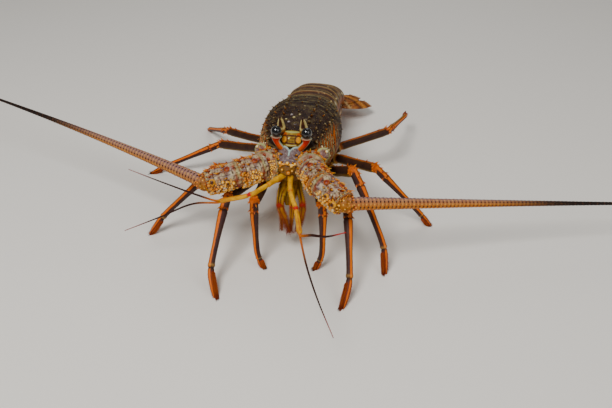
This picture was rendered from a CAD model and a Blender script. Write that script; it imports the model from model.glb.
import bpy
import numpy as np
from mathutils import Matrix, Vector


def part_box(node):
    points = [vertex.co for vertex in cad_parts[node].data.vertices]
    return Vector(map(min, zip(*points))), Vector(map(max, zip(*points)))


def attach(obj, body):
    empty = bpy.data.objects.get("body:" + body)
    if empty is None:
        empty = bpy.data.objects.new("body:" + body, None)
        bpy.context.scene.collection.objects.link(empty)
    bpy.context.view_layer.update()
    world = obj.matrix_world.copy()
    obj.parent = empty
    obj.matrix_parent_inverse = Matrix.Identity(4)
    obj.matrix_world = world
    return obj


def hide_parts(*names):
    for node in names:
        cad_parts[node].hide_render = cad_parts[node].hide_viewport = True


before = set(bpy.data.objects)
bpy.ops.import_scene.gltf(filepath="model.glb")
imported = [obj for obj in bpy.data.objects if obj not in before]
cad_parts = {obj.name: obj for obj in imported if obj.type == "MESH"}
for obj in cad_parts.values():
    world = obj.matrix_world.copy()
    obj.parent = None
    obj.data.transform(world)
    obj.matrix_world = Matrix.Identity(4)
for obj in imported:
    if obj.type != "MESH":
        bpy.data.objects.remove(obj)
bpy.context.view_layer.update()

MM = 0.001
SIDES = ((1, "left"), (-1, "right"))  # the animal's own sides

# The animal's driving dimensions, in millimetres and degrees
CARAPACE = 105  # length on the mid-line
AXIS_HEIGHT = 80  # of the carapace's middle line over the floor, at its front edge
BODY_PITCH = np.radians(12)
HORN = 25  # how high a horn rises
EYE = 4.7  # radius of a cornea
HIP = 14  # from a leg's root to its thigh
WHIP = 380  # length of a long feeler past its stalk
WHIP_ROOT, WHIP_TIP = 6.1, 0.45  # its radii
FOOT_SINK = 1.5  # how far a foot's middle line ends below the floor, so that its end lies flat on it

# Each leg: pair, side (1 is the animal's left), lift of the hip, thigh swing and rise, shin swing,
# and the drop of a shin that ends above the floor.
LEG_POSES = [
    (1, 1, 0, 12, 11.5, -12, None),
    (2, 1, 0, 24, 9, 4, None),
    (3, 1, 0, 25, 31, 40, None),
    (4, 1, 22, 45, 17, 94, None),
    (5, 1, 25, 126, 3, 166, 14),
    (1, -1, 0, 3, 10, -27, None),
    (2, -1, 0, 21, 8.5, -1, None),
    (3, -1, 0, 35, 21, 75, None),
    (4, -1, 20, 113, -11, 80, None),
    (5, -1, 25, 120, -7, 146, None),
]
# By pair: the root's place back along the body and out from the mid-line, the lengths of the thigh and
# the shin, how stout the leg is, and where the last joint is along the lower part.
LEG_PAIRS = {
    1: (14, 13, 46, 64, 1, 0.72),
    2: (31, 18, 60, 90, 1.05, 0.58),
    3: (49, 22, 64, 96, 1.05, 0.62),
    4: (67, 25, 58, 86, 0.98, 0.68),
    5: (86, 24, 60, 84, 0.9, 0.7),
}
# By side, how far each pair's shin bows outwards.
SHIN_BOW = {1: (4, 5, 6, 1, 2), -1: (3, 6.5, 3, 1, 2)}

# Chains of segments, each as swing, rise and length. A whip's swing and rise change evenly between two.
LONG_FEELERS = {
    1: {"stalk": [(4, 30, 16), (30, -4, 24), (50, -10, 28)], "swing": (111, 100), "rise": (-9, -2)},
    -1: {"stalk": [(8, 27, 16), (61, -7, 24), (67, -9, 28)], "swing": (118, 103), "rise": (0, 7)},
}
SHORT_FEELERS = {
    1: {
        "stalk": [(11, -14, 17), (21, -9, 22), (15, -7, 27)],
        "outer": [(53, 17, 14), (64, 20, 15), (105, 10, 15)],
        "inner": [(19, -18, 30), (25, -19, 30), (30, -21, 32)],
    },
    -1: {
        "stalk": [(35, 2, 20), (34, 3, 22), (96, -22, 27)],
        "outer": [(110, -8, 22), (112, 0, 38), (108, 5, 40)],
        "inner": [(88, -9, 25), (86, -27, 35), (74, -20, 34)],
    },
}
MOUTH_LEGS = {
    1: [(16, -8, 24), (-20, -75, 11), (-60, -76, 16)],
    -1: [(-5, -13, 24), (-60, -62, 11), (-62, -70, 16)],
}
INNER_MOUTH_LEG = [(8, -12, 17), (-4, -80, 13), (-8, -76, 18)]
# Tail ring by tail ring: length, half width, height above its axis, downward pitch, turn to the left.
TAIL_RINGS = [
    (16, 28.5, 22, 3, -1),
    (22, 29.5, 22, 6, -1),
    (21, 29, 21, 10, 1),
    (20, 28, 19.5, 15, 3),
    (18, 26.5, 18, 20, 6),
    (22, 24, 15.5, 23, 8),
]
TELSON_PITCH = 12


# Small helpers
def arrays(*values):
    """Numbers and arrays as arrays of one common shape."""
    return np.broadcast_arrays(*[np.asarray(v, float) for v in values])


def unit(v):
    """Arrows made one long."""
    return v / np.maximum(np.linalg.norm(v, axis=-1, keepdims=True), 1e-9)


def power(value, exponent):
    """A power of a number's size that keeps its sign."""
    return np.sign(value) * np.abs(value) ** exponent


def hump(value, at, wide):
    """A smooth hump, 1 at one value and almost 0 beyond twice the width from it."""
    return np.exp(-(((value - at) / wide) ** 2))


def humps(value, places, wide):
    """The same hump at several values."""
    return sum(hump(value, at, wide) for at in places)


def step(value, start, end):
    """A smooth rise from 0 at the start to 1 at the end."""
    x = np.clip((value - start) / (end - start), 0, 1)
    return x * x * (3 - 2 * x)


def heading(side, swing, rise):
    """A unit arrow. Swing 0 is straight ahead and 90 out to the side; rise is above level."""
    s, r = np.radians(swing), np.radians(rise)
    return np.array([side * np.sin(s) * np.cos(r), -np.cos(s) * np.cos(r), np.sin(r)])


def body_point(x, y, z):
    """From the body's own frame, level with the carapace, to the animal's frame on the floor."""
    x, y, z = arrays(x, y, z)
    c, s = np.cos(BODY_PITCH), np.sin(BODY_PITCH)
    return np.stack([x, y * c + z * s, AXIS_HEIGHT + z * c - y * s], -1)


def body_way(x, y, z):
    """A unit arrow from the body's own frame to the animal's."""
    return unit(body_point(x, y, z) - body_point(0, 0, 0))


def chain(start, side, segments):
    """The points of a chain of segments from a start."""
    points = [np.asarray(start, float)]
    for swing, rise, length in segments:
        points.append(points[-1] + length * heading(side, swing, rise))
    return points


def profile(values, share):
    """The smooth cubic through evenly spaced values, at a share from 0 to 1 of the way."""
    v = np.asarray(values, float)
    last = len(v) - 1
    x = np.clip(share, 0, 1) * last
    i = np.minimum(np.floor(x).astype(int), last - 1)
    f = x - i
    before, a, b, after = v[np.maximum(i - 1, 0)], v[i], v[i + 1], v[np.minimum(i + 2, last)]
    square, cube = 2 * before - 5 * a + 4 * b - after, 3 * a - before - 3 * b + after
    return 0.5 * (2 * a + (b - before) * f + square * f**2 + cube * f**3)


def path(points, share):
    """The centripetal curve through points at shares of its spans: each span is a cubic whose slopes
    come from its neighbours, weighed by the square root of the distances between them."""
    p = np.asarray(points, float)
    p = np.concatenate([[2 * p[0] - p[1]], p, [2 * p[-1] - p[-2]]])
    gaps = np.sqrt(np.linalg.norm(np.diff(p, axis=0), axis=1))
    spans = len(p) - 3
    x = np.clip(share, 0, 1) * spans
    i = np.minimum(np.floor(x).astype(int), spans - 1)
    f = (x - i)[..., None]
    d0, d1, d2 = (gaps[i + k][..., None] for k in range(3))
    p0, p1, p2, p3 = (p[i + k] for k in range(4))
    m1 = ((p1 - p0) / d0 - (p2 - p0) / (d0 + d1) + (p2 - p1) / d1) * d1
    m2 = ((p2 - p1) / d1 - (p3 - p1) / (d1 + d2) + (p3 - p2) / d2) * d1
    return p1 + m1 * f + (3 * (p2 - p1) - 2 * m1 - m2) * f**2 + (2 * (p1 - p2) + m1 + m2) * f**3


def around(points, radii, across=(0, 0, 1), flat=1.0):
    """A place function for a tube: the point at a share along a path and an angle round it is the path's
    point plus the radius there times the sine along the across way and the cosine square to it."""
    across = np.asarray(across, float)
    nudge = 0.002

    def place(along, angle, out=1.0):
        along, angle, out = arrays(along, angle, out)
        near = np.clip(along, nudge, 1 - nudge)
        ahead = unit(path(points, near + nudge) - path(points, near - nudge))
        wide = unit(across - ahead * (ahead @ across)[..., None])
        deep = np.cross(ahead, wide)
        size = (profile(radii, along) * out)[..., None]
        return path(points, along) + size * (wide * np.sin(angle)[..., None] + deep * flat * np.cos(angle)[..., None])

    return place


def evenly(count):
    """Evenly scattered pairs of shares: each pair adds the same two fractions, which never line up, to
    the one before it."""
    n = np.arange(count) + 0.5
    return (n * 0.7548776662) % 1, (n * 0.5698402910) % 1


def mixed(count, first, second):
    """One more share for each of those pairs, from multiples of its two."""
    a, b = evenly(count)
    return (a * first + b * second) % 1


def scattered(count, start, end, middle=180, spread=360):
    """Evenly scattered shares along a surface, from a start to an end, and angles round it in degrees,
    within a spread about a middle."""
    a, b = evenly(count)
    return start + (end - start) * a, middle + spread * (b - 0.5)


def granules(u, v, size, seed):
    """Low domes on a jittered grid with cells of one size: the height from 0 to 1 falls with the square
    of the distance from the nearest dome's middle. The jitter is the fraction of a sine times a large
    number, so it differs from cell to cell."""
    cell_u, cell_v = np.floor(u / size), np.floor(v / size)
    best = np.full(np.broadcast(u, v).shape, 9.0)
    for du in (-1, 0, 1):
        for dv in (-1, 0, 1):
            a, b = cell_u + du, cell_v + dv
            jitter_u = np.mod(np.sin(a * 127.1 + b * 311.7 + seed) * 43758.5453, 1)
            jitter_v = np.mod(np.sin(a * 269.5 + b * 183.3 + seed) * 24634.6345, 1)
            away = np.hypot(u / size - a - 0.2 - 0.6 * jitter_u, v / size - b - 0.2 - 0.6 * jitter_v)
            best = np.minimum(best, away)
    return np.clip(1 - (best / 0.62) ** 2, 0, 1)


# Surfaces: corners, faces, the faces' places on the pattern (uv), and values at the corners.
def grid_faces(n, m):
    """The faces of n rings of m points: four-cornered ones between the rings, and three-cornered ones at
    both ends to the two points that are listed after the rings."""
    i, j = np.meshgrid(np.arange(n - 1), np.arange(m), indexing="ij")
    k = (j + 1) % m
    quads = np.stack([i * m + j, i * m + k, (i + 1) * m + k, (i + 1) * m + j], -1).reshape(-1, 4)
    j = np.arange(m)
    k = (j + 1) % m
    first = np.stack([np.full(m, n * m), k, j], -1)
    last = np.stack([np.full(m, n * m + 1), (n - 1) * m + j, (n - 1) * m + k], -1)
    return quads, np.concatenate([first, last])


def outward(co, quads, tris):
    """True where the faces of a closed surface look outwards: the sum of its cone volumes is positive."""
    sides = np.concatenate([quads[:, [0, 1, 2]], quads[:, [0, 2, 3]], tris])
    a, b, c = (co[sides[:, k]] - co.mean(0) for k in range(3))
    return np.einsum("ij,ij->i", a, np.cross(b, c)).sum() > 0


def lofted(rings, u, values):
    """A closed surface through rings of points, drawn together to a point at each end."""
    n, m = rings.shape[:2]
    co = np.concatenate([rings.reshape(-1, 3), rings[[0, -1]].mean(1)])
    quads, tris = grid_faces(n, m)
    v = np.arange(m + 1) / m
    i, j = np.meshgrid(np.arange(n - 1), np.arange(m), indexing="ij")
    corners = [(u[i], v[j]), (u[i], v[j + 1]), (u[i + 1], v[j + 1]), (u[i + 1], v[j])]
    quad_uv = np.stack([np.stack(c, -1) for c in corners], 2).reshape(-1, 4, 2)
    here, there = v[:-1], v[1:]
    ends = (0, (here, there, here)), (-1, (here, here, there))
    tri_uv = np.concatenate([np.stack([np.full((m, 3), u[end]), np.stack(turn, -1)], -1) for end, turn in ends])
    if not outward(co, quads, tris):
        quads, tris, quad_uv, tri_uv = (face[:, ::-1] for face in (quads, tris, quad_uv, tri_uv))
    kept = {name: np.concatenate([a.ravel(), a[[0, -1]].mean(1)]) for name, a in values.items()}
    return co, quads, tris, quad_uv, tri_uv, kept


def skin(place, rows, columns, relief=None, length=100.0, marks=None):
    """The closed surface of a place function, drawn in at its ends. Rows is how many rings it has or
    the shares where they lie, and length is how long its pattern is, in mm."""
    along = np.linspace(0, 1, rows) if np.isscalar(rows) else rows
    drawn_in = np.array([0.4, 0.75, 0.95])
    out = np.concatenate([drawn_in, np.ones(len(along)), drawn_in[::-1]])[:, None]
    along = np.concatenate([np.full(3, along[0]), along, np.full(3, along[-1])])[:, None]
    angle = (2 * np.pi * np.arange(columns) / columns)[None]
    if relief is not None:
        reach = np.linalg.norm(place(along, angle, 1.0) - place(along, angle, 0.0), axis=-1)
        out = out * (1 + relief(along, angle) / np.maximum(reach, 0.3))
    values = {name: f(along, angle) + 0 * along * angle for name, f in (marks or {}).items()}
    return lofted(place(along, angle, out), along[:, 0] * length, values)


# What the width of a spine, a knob or a hair is at shares of its length, from its sunk root to its tip.
SPINE = ((-0.3, 0.0, 0.3, 0.6, 0.85), (1.15, 1.0, 0.66, 0.36, 0.14))
KNOB = ((-0.3, 0.05, 0.4, 0.7, 0.92), (0.75, 0.95, 1.0, 0.8, 0.42))
HAIR = ((-0.2, 0.5), (1.0, 0.6))


def spines(foot, out, bend, length, radius, form=SPINE, sides=6, tint=None):
    """Curved cones joined in one surface, one on each foot. At a share t of its length the axis of one
    is its foot plus its length times (t along out, t squared along bend)."""
    count = len(foot)
    length, radius = np.broadcast_to(length, count), np.broadcast_to(radius, count)
    t, wide = np.array(form[0]), np.array(form[1])
    first = unit(np.cross(out, [0.31, 0.17, 0.93]))
    second = np.cross(out, first)
    turn = 2 * np.pi * np.arange(sides) / sides
    rim = first[:, None] * np.cos(turn)[:, None] + second[:, None] * np.sin(turn)[:, None]
    curve = out[:, None] * t[:, None] + bend[:, None] * np.maximum(t, 0)[:, None] ** 2
    axis = foot[:, None] + length[:, None, None] * curve
    rings = axis[:, :, None] + radius[:, None, None, None] * wide[:, None, None] * rim[:, None]
    tip = foot + length[:, None] * (out + bend)
    each = len(t) * sides + 2
    co = np.concatenate([rings.reshape(count, -1, 3), axis[:, :1], tip[:, None]], 1)
    quads, tris = grid_faces(len(t), sides)
    if not outward(co[0], quads, tris):
        quads, tris = quads[:, ::-1], tris[:, ::-1]
    shares = np.concatenate([np.repeat(np.clip(t, 0, 1), sides), [0, 1]])
    uv = np.stack([shares, np.concatenate([np.tile(turn / 2 / np.pi, len(t)), [0, 0]])], -1)
    start = (np.arange(count) * each)[:, None, None]
    tints = evenly(count)[0] if tint is None else np.broadcast_to(tint, count)
    values = {"tip": np.tile(shares, count), "tint": np.repeat(tints, each)}
    faces = [(corners + start).reshape(-1, corners.shape[1]) for corners in (quads, tris)]
    return co.reshape(-1, 3), *faces, *(np.tile(uv[c], (count, 1, 1)) for c in (quads, tris)), values


def on(place, along, angle):
    """Points on a surface with their outward and forward ways, from the surface's values close by."""
    along, angle = arrays(along, angle)
    foot = place(along, angle, 1.0)
    ahead = unit(place(along + 0.004, angle, 1.0) - place(along - 0.004, angle, 1.0))
    beside = place(along, angle + 0.03, 1.0) - place(along, angle - 0.03, 1.0)
    out = unit(np.cross(beside, ahead))
    out *= np.sign(np.sum(out * (foot - place(along, angle, 0.0)), -1, keepdims=True))
    return foot, out, ahead


def spines_on(place, along, degrees, length, radius, lean=0.5, curl=0.3, **form):
    """Spines on a surface at shares along it and angles round it. They lean along it by lean (backwards
    where negative) and curve further that way by curl."""
    along, degrees = arrays(along, degrees)
    foot, out, ahead = on(place, along.ravel(), np.radians(degrees.ravel()))
    return spines(foot, unit(out + lean * ahead), curl * ahead * np.sign(lean), length, radius, **form)


def knobs_on(place, along, degrees, height, radius, sides=8, tint=None, lean=0.1, curl=0.0):
    """Round knobs on a surface, which swell above a narrower foot."""
    return spines_on(place, along, degrees, height, radius, lean, curl, form=KNOB, sides=sides, tint=tint)


def hairs_on(place, along, degrees, length, radius, lean, curl):
    """Bristles on a surface, three-sided, because hundreds stand together."""
    return spines_on(place, along, degrees, length, radius, lean, curl, form=HAIR, sides=3)


def end_knobs(place, ahead, count, middle=0, spread=360):
    """Round knobs of uneven size scattered over a tube's flat far end, outside half its radius, within
    a spread of degrees about a middle."""
    a, b = evenly(count)
    foot = place(1.0, np.radians(middle + spread * (a - 0.5)), 0.5 + 0.45 * b)
    size = 1.0 + 0.9 * mixed(count, 7, 3)
    return spines(foot, np.tile(ahead, (count, 1)), 0 * foot, size, size * 0.7, KNOB, 8)


def angle_towards(place, along, arrow):
    """The angle round a surface, in degrees, that looks most along an arrow."""
    middle = place(along, 0.0, 0.0)
    deep, wide = (place(along, a, 1.0) - middle for a in (0.0, np.pi / 2))
    return np.degrees(np.arctan2(wide @ arrow, deep @ arrow))


CAD_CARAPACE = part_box("carapace")
REAR_EDGE = body_point(0, CARAPACE, 28)[1]  # how far back the carapace's rear edge reaches
ORIGIN = np.array([(CAD_CARAPACE[0].x + CAD_CARAPACE[1].x) / 2, CAD_CARAPACE[1].y - REAR_EDGE * MM, 0])


def piece(name, surfaces, finish, stands_for=()):
    """One object from closed surfaces, with its finish. It rides on the animal's one body, takes the
    record's material slot, and stands for the solids that it is given."""
    shift = np.cumsum([0] + [len(s[0]) for s in surfaces])
    co = np.concatenate([s[0] for s in surfaces]) * MM + ORIGIN
    co[:, 2] = np.maximum(co[:, 2], 0)
    quads, tris = (np.concatenate([s[i] + k for s, k in zip(surfaces, shift)]) for i in (1, 2))
    uv = np.concatenate([s[i].reshape(-1, 2) for i in (3, 4) for s in surfaces])
    mesh = bpy.data.meshes.new(name)
    mesh.vertices.add(len(co))
    mesh.vertices.foreach_set("co", co.astype(np.float32).ravel())
    mesh.loops.add(quads.size + tris.size)
    mesh.loops.foreach_set("vertex_index", np.concatenate([quads.ravel(), tris.ravel()]).astype(np.int32))
    mesh.polygons.add(len(quads) + len(tris))
    starts = np.concatenate([np.arange(len(quads)) * 4, quads.size + np.arange(len(tris)) * 3])
    mesh.polygons.foreach_set("loop_start", starts.astype(np.int32))
    mesh.polygons.foreach_set("use_smooth", np.ones(len(starts), bool))
    mesh.update(calc_edges=True)
    mesh.uv_layers.new(name="UVMap").data.foreach_set("uv", uv.astype(np.float32).ravel())
    for key in sorted({key for s in surfaces for key in s[5]}):
        values = np.concatenate([s[5].get(key, np.zeros(len(s[0]))) for s in surfaces])
        mesh.attributes.new(key, "FLOAT", "POINT").data.foreach_set("value", values.astype(np.float32))
    mesh.validate()
    mesh.materials.append(finish)
    made = bpy.data.objects.new(name, mesh)
    bpy.context.scene.collection.objects.link(made)
    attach(made, "root")
    if stands_for:
        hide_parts(*stands_for)


# Finishes
def srgb(code):
    """A hex colour as linear red, green, blue and alpha."""
    c = np.array([int(code[k : k + 2], 16) for k in (1, 3, 5)]) / 255
    return (*np.where(c <= 0.04045, c / 12.92, ((c + 0.055) / 1.055) ** 2.4), 1)


def node(material, kind, sockets=None, stops=None, **settings):
    """Adds a node and returns its outputs. Sockets are filled by an output of another node or a value,
    settings are the node's own, and stops fill a colour ramp."""
    made = material.node_tree.nodes.new("ShaderNode" + kind)
    for key, value in settings.items():
        setattr(made, key, value)
    for key, value in (sockets or {}).items():
        if isinstance(value, bpy.types.NodeSocket):
            material.node_tree.links.new(value, made.inputs[key])
        else:
            made.inputs[key].default_value = value
    if stops:
        ramp = made.color_ramp
        while len(ramp.elements) < len(stops):
            ramp.elements.new(0.5)
        for element, (at, code) in zip(ramp.elements, stops):
            element.position, element.color = at, srgb(code)
    return made.outputs


def new_material(name):
    """An empty material with its nodes on."""
    made = bpy.data.materials.new(name)
    made.use_nodes = True
    made.node_tree.nodes.clear()
    return made


FINE_PATCH = 0.9  # mm, the size of the small patches where the shell is duller or a mark is thinner
WATER_SHEEN = 0.25  # mirror light, half of the usual 0.5, because shell under water reflects little


def cuticle(
    name, tones, mottle, marks=(), stripes=None, dots=None, freckles=None, grain=1.6, raised=0.18, rough=(0.42, 0.6)
):
    """Calcified cuticle, the hard chalky shell of a crustacean, matt as in water, IOR 1.4. Tones are
    its colours from the hollows to the heights of a cloudy pattern, mottle is that pattern's size,
    marks lay a colour where an attribute says so, stripes colour it by the angle round, by a share,
    dots stand in rows along it with paler ovals between them, and freckles are scattered round spots.
    Grain is the size of its granules, raised their height, and rough the range of its roughness.
    Sizes are in mm."""
    m = new_material(name)
    where = node(m, "TexCoord")["Object"]
    uv = node(m, "TexCoord")["UV"]
    cloud = node(m, "TexNoise", {"Vector": where, "Scale": 1 / (mottle * MM), "Detail": 5, "Roughness": 0.62})[0]
    fine = node(m, "TexNoise", {"Vector": where, "Scale": 1 / (FINE_PATCH * MM), "Detail": 2})[0]
    colour = node(m, "ValToRGB", {0: cloud}, stops=tones)[0]
    parts = node(m, "SeparateXYZ", {0: uv})
    if stripes:
        wobble = node(m, "MapRange", {0: cloud, 1: 0.3, 2: 0.7, 3: -0.012, 4: 0.012})[0]
        round_it = node(m, "Math", {0: parts[1], 1: wobble}, operation="ADD")[0]
        bands = node(m, "ValToRGB", {0: round_it}, stops=stripes[0])[0]
        colour = node(m, "Mix", {0: stripes[1], 6: colour, 7: bands}, data_type="RGBA")[2]
    if dots:
        pitch, rows, size, code, between = dots
        down = node(m, "Math", {0: parts[0], 1: 2 * np.pi / pitch}, operation="MULTIPLY")[0]
        over = node(m, "Math", {0: parts[1], 1: 2 * np.pi * rows}, operation="MULTIPLY")[0]
        waves = [node(m, "Math", {0: v}, operation="COSINE")[0] for v in (down, over)]
        both = node(m, "Math", {0: waves[0], 1: waves[1]}, operation="ADD")[0]
        oval = node(m, "MapRange", {0: both, 1: -size, 2: -size - 0.6, 4: 0.85})[0]
        colour = node(m, "Mix", {0: oval, 6: colour, 7: srgb(between)}, data_type="RGBA")[2]
        spot = node(m, "MapRange", {0: both, 1: size, 2: size + 0.35})[0]
        colour = node(m, "Mix", {0: spot, 6: colour, 7: srgb(code)}, data_type="RGBA")[2]
    if freckles:
        size, share, code = freckles
        cells = node(m, "TexVoronoi", {"Vector": where, "Scale": 1 / (size * MM), "Randomness": 0.9})["Distance"]
        spot = node(m, "MapRange", {0: cells, 1: share, 2: share * 0.7})[0]
        colour = node(m, "Mix", {0: spot, 6: colour, 7: srgb(code)}, data_type="RGBA")[2]
    for attribute, code in marks:
        value = node(m, "Attribute", attribute_name=attribute)["Fac"]
        uneven = node(m, "MapRange", {0: fine, 1: 0.3, 2: 0.6, 3: 0.65, 4: 1.0})[0]
        amount = node(m, "Math", {0: value, 1: uneven}, operation="MULTIPLY", use_clamp=True)[0]
        colour = node(m, "Mix", {0: amount, 6: colour, 7: srgb(code)}, data_type="RGBA")[2]
    cells = node(m, "TexVoronoi", {"Vector": where, "Scale": 1 / (grain * MM)}, feature="SMOOTH_F1")["Distance"]
    height = node(m, "MapRange", {0: cells, 1: 0.0, 2: 0.7, 3: 1.0, 4: 0.0})[0]
    bump = node(m, "Bump", {"Height": height, "Distance": raised * MM, "Strength": 0.8})[0]
    gloss = node(m, "MapRange", {0: fine, 1: 0.3, 2: 0.7, 3: rough[0], 4: rough[1]})[0]
    settings = {"Base Color": colour, "Roughness": gloss, "Normal": bump, "IOR": 1.4}
    settings["Specular IOR Level"] = WATER_SHEEN
    node(m, "OutputMaterial", {0: node(m, "BsdfPrincipled", settings)[0]})
    return m


def spine_finish(name, stops, reds, rough=0.42):
    """Spines of the same cuticle, smooth, banded from the root to the tip, IOR 1.42. Stops colour it by
    the share along it, and reds is a second colouring that some of the spines have."""
    m = new_material(name)
    tip = node(m, "Attribute", attribute_name="tip")["Fac"]
    tint = node(m, "Attribute", attribute_name="tint")["Fac"]
    plain = node(m, "ValToRGB", {0: tip}, stops=stops)[0]
    second = node(m, "ValToRGB", {0: tip}, stops=reds)[0]
    pick = node(m, "MapRange", {0: tint, 1: 0.55, 2: 0.75})[0]
    colour = node(m, "Mix", {0: pick, 6: plain, 7: second}, data_type="RGBA")[2]
    where = node(m, "TexCoord")["Object"]
    grain = node(m, "TexNoise", {"Vector": where, "Scale": 1 / (0.7 * MM), "Detail": 2})[0]
    bump = node(m, "Bump", {"Height": grain, "Distance": 0.08 * MM, "Strength": 0.5})[0]
    settings = {"Base Color": colour, "Normal": bump, "Roughness": rough, "IOR": 1.42, "Specular IOR Level": 0.4}
    node(m, "OutputMaterial", {0: node(m, "BsdfPrincipled", settings)[0]})
    return m


def wet_eye(name, stops):
    """The smooth clear skin of an eye under a coat of water, IOR 1.4, with faint clouds of two colours
    2 mm across. Its facets are drawn 0.5 mm wide, many times their real size, so that they show."""
    m = new_material(name)
    where = node(m, "TexCoord")["Object"]
    cloud = node(m, "TexNoise", {"Vector": where, "Scale": 1 / (2 * MM), "Detail": 3})[0]
    colour = node(m, "ValToRGB", {0: cloud}, stops=stops)[0]
    facets = node(m, "TexVoronoi", {"Vector": where, "Scale": 1 / (0.5 * MM)})["Distance"]
    bump = node(m, "Bump", {"Height": facets, "Distance": 0.02 * MM, "Strength": 0.3})[0]
    settings = {"Base Color": colour, "Normal": bump, "Roughness": 0.08, "IOR": 1.4, "Coat Weight": 1.0}
    node(m, "OutputMaterial", {0: node(m, "BsdfPrincipled", settings)[0]})
    return m


# The carapace's shell: dark olive-brown cuticle under water, with next to no shine, so that its grains
# and its pale arcs carry the form.
SHELL_DARK = cuticle(
    "carapace cuticle",
    [(0.3, "#1a100d"), (0.45, "#291a14"), (0.56, "#3a281c"), (0.68, "#4e4226")],
    7,
    marks=[("pale", "#80744a"), ("warm", "#b85a0c"), ("cream", "#d8bc78")],
    freckles=(7.5, 0.15, "#8c7a54"),
    grain=1.9,
    raised=0.3,
)
# The tail rings' shell: smoother and thinner than the carapace, so a soft band of light runs across
# each ring and shows its curve.
TAIL_SHELL = cuticle(
    "tail ring cuticle",
    [(0.3, "#241512"), (0.45, "#3a221a"), (0.58, "#503422"), (0.7, "#665030")],
    6,
    marks=[("pale", "#8c774a"), ("warm", "#96501e"), ("cream", "#dccb94")],
    freckles=(6.5, 0.17, "#c8aa70"),
    grain=2.2,
    raised=0.12,
    rough=(0.34, 0.5),
)
# The long feelers' stalks: lilac cuticle, grained like a coarse rasp and wholly matt, with dark hollows
# between the grains that make it read as rough.
LAVENDER = cuticle(
    "feeler stalk cuticle",
    [(0.28, "#4a2f22"), (0.42, "#6c544c"), (0.55, "#8c787a"), (0.68, "#b8a688")],
    5,
    marks=[
        ("warm", "#7c400a"),
        ("red", "#8a2a10"),
        ("cream", "#dccc9a"),
        ("pale", "#b2b86c"),
        ("gold", "#a8641a"),
        ("dark", "#38190f"),
    ],
    freckles=(3.6, 0.24, "#6b3b22"),
    grain=1.3,
    raised=0.25,
)
# The plate between the feelers: the same lilac cuticle in fine grains, dull as unglazed clay, with a pale
# bluish rim.
PLATE = cuticle(
    "antennular plate cuticle",
    [(0.3, "#4a3c38"), (0.48, "#705f60"), (0.6, "#867670"), (0.72, "#ac9e88")],
    2.2,
    marks=[("warm", "#84580c"), ("dark", "#1c1014"), ("pale", "#a8c0b8")],
    freckles=(1.9, 0.3, "#6a3a28"),
    grain=1.0,
    raised=0.16,
)
# The mask between the horns: yellow-olive cuticle, waxy and flatly coloured, in which dark red lines
# and two golden discs are drawn sharply.
MARGIN = cuticle(
    "front margin cuticle",
    [(0.3, "#785208"), (0.5, "#947010"), (0.7, "#ac8c28")],
    3,
    marks=[
        ("brown", "#4c2004"),
        ("orange", "#b44800"),
        ("red", "#400c02"),
        ("warm", "#ec9c00"),
        ("pale", "#a4a860"),
        ("cream", "#e4d088"),
        ("dark", "#24100c"),
    ],
    grain=1.2,
    raised=0.08,
    rough=(0.45, 0.6),
)
# The carapace's spines: horn-like, smoother than the shell round them, so each shows a dark root, a
# pale shank that catches the light, and a brown tip.
SPINES_SHELL = spine_finish(
    "carapace spines",
    [(0.0, "#241410"), (0.3, "#4e3018"), (0.6, "#8a6a34"), (0.86, "#cdbb88"), (1.0, "#5c3c20")],
    [(0.0, "#1e100d"), (0.35, "#54280f"), (0.65, "#a45c14"), (0.88, "#cc9c48"), (1.0, "#402212")],
)
# The stalks' spines and knobs: golden and a little translucent like amber, dark at the root and light
# at the top, which makes each one stand out as a bead.
SPINES_FACE = spine_finish(
    "feeler stalk spines",
    [(0.0, "#2e1206"), (0.32, "#8c4600"), (0.56, "#d88800"), (0.86, "#f0b028"), (1.0, "#f6dc94")],
    [(0.0, "#2a0c04"), (0.35, "#842e04"), (0.65, "#c06000"), (0.9, "#dc942a"), (1.0, "#b46a18")],
)
# The stalks' small prickles: nearly white, dry and chalky, which gives the lilac its frosted look.
PRICKLES = spine_finish(
    "feeler stalk prickles",
    [(0.0, "#5a4640"), (0.5, "#a09088"), (1.0, "#e4d8b4")],
    [(0.0, "#7a4a20"), (0.4, "#c89038"), (0.8, "#ecd8a0"), (1.0, "#f0e4c0")],
)
# The front tubercles: grey-lilac and olive knobs, just lighter than the dark shell they stand on.
TUBERCLE_FINISH = spine_finish(
    "front tubercles",
    [(0.0, "#3a2c2c"), (0.5, "#6c5f66"), (1.0, "#a49a90")],
    [(0.0, "#3c2a18"), (0.5, "#7c6a38"), (1.0, "#c0b27c")],
)
# The knees' spines: bright orange horn with dark tips, a little glossier than the leg.
SPINES_LEG = spine_finish(
    "knee spines",
    [(0.0, "#a04404"), (0.4, "#dc7200"), (0.75, "#ec9418"), (1.0, "#7a3a10")],
    [(0.0, "#6c2406"), (0.4, "#b84a06"), (0.75, "#dd7c10"), (1.0, "#4c2010")],
)
# The stalks' large knobs: a golden ring round a dark brown eye, or a red-brown dome, both smooth.
BOSS = spine_finish(
    "joint bosses",
    [(0.0, "#b87400"), (0.4, "#dc9c10"), (0.74, "#d08c10"), (0.88, "#5a2c0a"), (1.0, "#34160a")],
    [(0.0, "#6c2c08"), (0.4, "#94400c"), (0.7, "#a04808"), (0.9, "#7c2406"), (1.0, "#681c06")],
)
# Bristles on the shell and the tail fan: dry reddish-brown hair, which softens the edges it stands on.
BRISTLES = spine_finish(
    "bristles", [(0.0, "#7a3a10"), (0.6, "#b0641c"), (1.0, "#c88c48")], [(0.0, "#5c2810"), (1.0, "#9c5420")], 0.6
)
# Bristles on the feet and the mouth's limbs: dull orange-red hair, dense enough to read as a brush.
FOOT_BRISTLES = spine_finish(
    "foot bristles", [(0.0, "#902e04"), (0.6, "#bc5006"), (1.0, "#cc7424")], [(0.0, "#741c04"), (1.0, "#a03c08")], 0.6
)
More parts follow.
